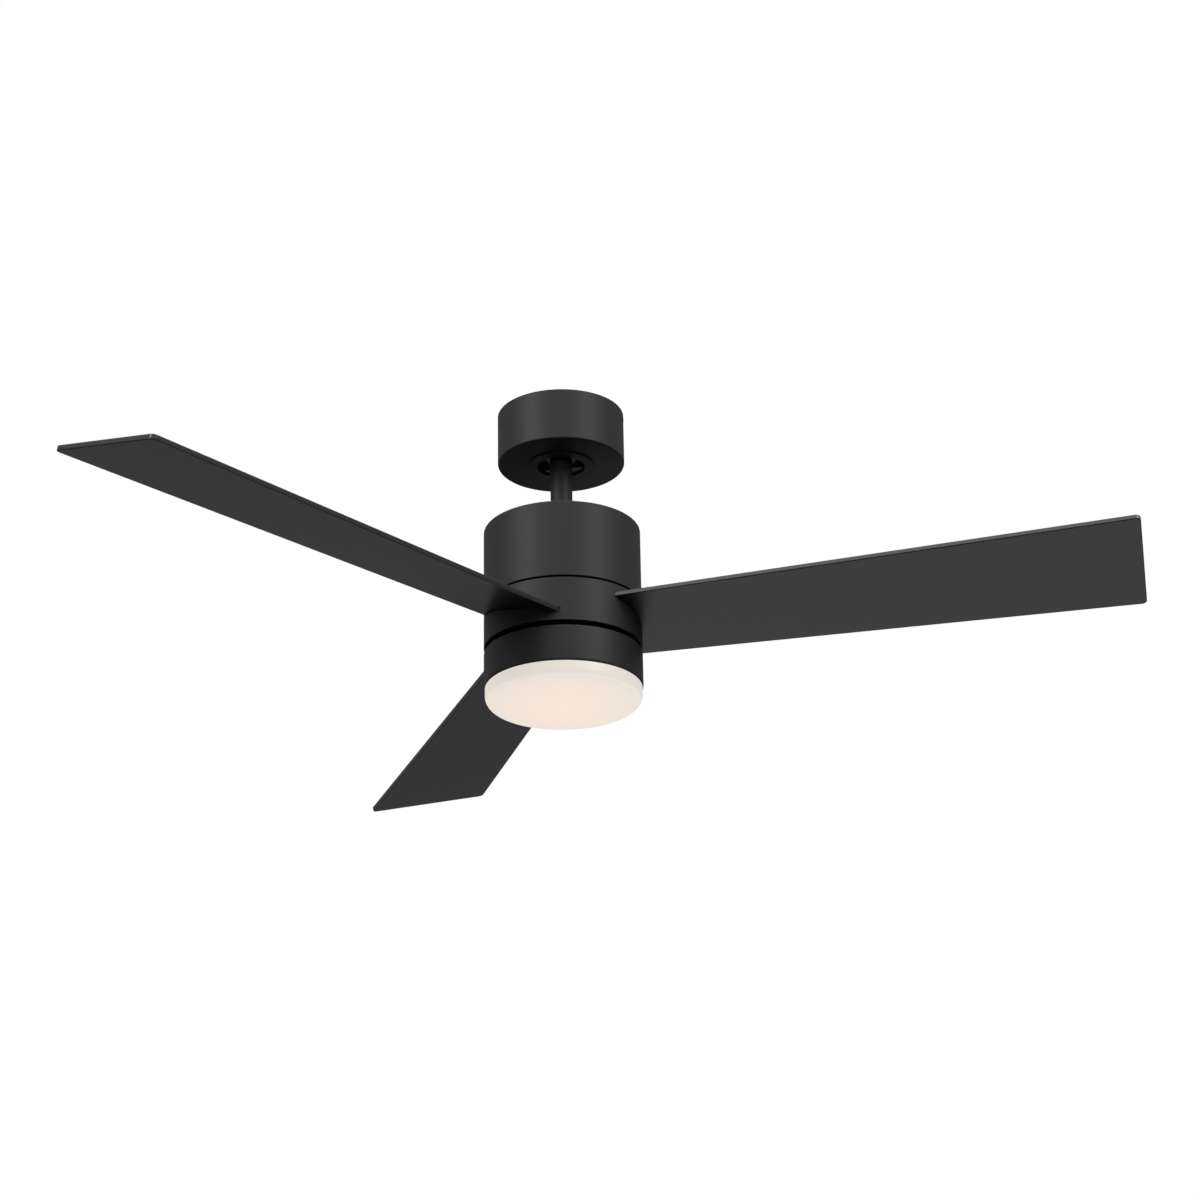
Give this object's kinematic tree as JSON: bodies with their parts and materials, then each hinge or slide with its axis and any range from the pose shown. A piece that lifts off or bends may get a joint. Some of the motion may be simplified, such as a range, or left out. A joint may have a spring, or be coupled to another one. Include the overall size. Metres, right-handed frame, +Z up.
{
  "type": "ceiling fan with light",
  "caption": "Black three-blade ceiling fan on a short downrod, with a round canopy, a slotted turning band between two round housings, and an opal light underneath.",
  "frame": {"origin": "centre of the ceiling plane, which is the top face of the hanger bracket", "axes": "+Z up to the ceiling, the fan hangs along -Z, and blade 1 points along +X"},
  "size_m": [1.0638, 1.2028, 0.3615],
  "materials": {
    "black_coat": "satin black powder coat",
    "blade_black": "matte black lacquer over plywood",
    "lens_opal": "matte opal white, glowing warm",
    "zinc_steel": "bright zinc plate",
    "ground_steel": "ground bearing steel",
    "cast_aluminium": "as-cast, lightly blasted",
    "lamination_steel": "stacked electrical steel, varnished",
    "copper_wire": "enamelled copper windings",
    "magnet": "dull sintered ferrite",
    "ball_nylon": "black moulded nylon",
    "module_plastic": "black moulded housing",
    "driver_plastic": "white moulded housing",
    "circuit_board": "green solder mask",
    "board_parts": "black and grey components",
    "wire_blue": "soft insulation",
    "wire_orange": "soft insulation and caps",
    "ground_green": "green passivated screw",
    "gasket_rubber": "black rubber sheet",
    "led_white": "white reflective board",
    "led_phosphor": "yellow phosphor caps"
  },
  "bodies": {
    "bracket": {"hanger_bracket": "black_coat", "canopy": "black_coat", "canopy_ring": "black_coat", "canopy_screws": "black_coat", "receiver_box": "module_plastic", "supply_leads": "wire_orange", "wire_nuts": "wire_orange", "ground_screw": "ground_green"},
    "hanger": {"hanger_ball": "ball_nylon", "ball_pin": "ground_steel", "ball_set_screw": "zinc_steel", "downrod": "black_coat", "motor_coupling": "cast_aluminium", "rod_pin": "ground_steel", "rod_cotter": "zinc_steel", "coupling_set_screws": "zinc_steel", "motor_housing": "black_coat", "housing_screws": "black_coat", "motor_shaft": "ground_steel", "shaft_rings": "ground_steel", "shaft_nuts": "zinc_steel", "stator_hub": "cast_aluminium", "stator_core": "lamination_steel", "stator_windings": "copper_wire", "upper_bearing_inner": "ground_steel", "lower_bearing_inner": "ground_steel", "board_standoffs": "zinc_steel", "controller_board": "circuit_board", "controller_parts": "board_parts", "lead_wires": "wire_blue", "light_mount_plate": "black_coat", "light_plate_screws": "black_coat", "light_housing": "black_coat", "led_driver": "driver_plastic", "led_standoffs": "zinc_steel", "heat_sink": "cast_aluminium", "led_board": "led_white", "led_chips": "led_phosphor", "lens_clips": "zinc_steel"},
    "rotor": {"rotor_top_case": "black_coat", "rotor_bottom_case": "black_coat", "case_screws": "zinc_steel", "back_iron": "lamination_steel", "magnets": "magnet", "upper_bearing_outer": "ground_steel", "lower_bearing_outer": "ground_steel", "rotor_band": "black_coat", "band_screws": "black_coat", "blade_bracket_1": "black_coat", "blade_bracket_2": "black_coat", "blade_bracket_3": "black_coat", "bracket_screws": "black_coat", "blade_gaskets": "gasket_rubber", "blade_1": "blade_black", "blade_2": "blade_black", "blade_3": "blade_black", "blade_screws": "black_coat"},
    "upper_cage": {"upper_bearing_cage": "ground_steel"},
    "lower_cage": {"lower_bearing_cage": "ground_steel"},
    "lens": {"lens": "lens_opal"}
  },
  "joints": [
    {"name": "hanger_tilt", "type": "hinge", "parent": "bracket", "child": "hanger", "pos_m": [0, 0, -0.038], "axis": [1, 0, 0], "range_deg": [-15, 15]},
    {"name": "rotor_spin", "type": "hinge", "parent": "hanger", "child": "rotor", "pos_m": [0, 0, -0.2], "axis": [0, 0, 1], "continuous": true},
    {"name": "upper_cage_spin", "type": "hinge", "parent": "hanger", "child": "upper_cage", "pos_m": [0, 0, -0.196], "axis": [0, 0, 1], "continuous": true},
    {"name": "lower_cage_spin", "type": "hinge", "parent": "hanger", "child": "lower_cage", "pos_m": [0, 0, -0.239], "axis": [0, 0, 1], "continuous": true},
    {"name": "lens_twist", "type": "hinge", "parent": "hanger", "child": "lens", "pos_m": [0, 0, -0.341], "axis": [0, 0, 1], "range_deg": [-25, 0]}
  ],
  "couplings": [
    {"joint": "upper_cage_spin", "follows": "rotor_spin", "ratio": 0.6193},
    {"joint": "lower_cage_spin", "follows": "rotor_spin", "ratio": 0.6193}
  ]
}
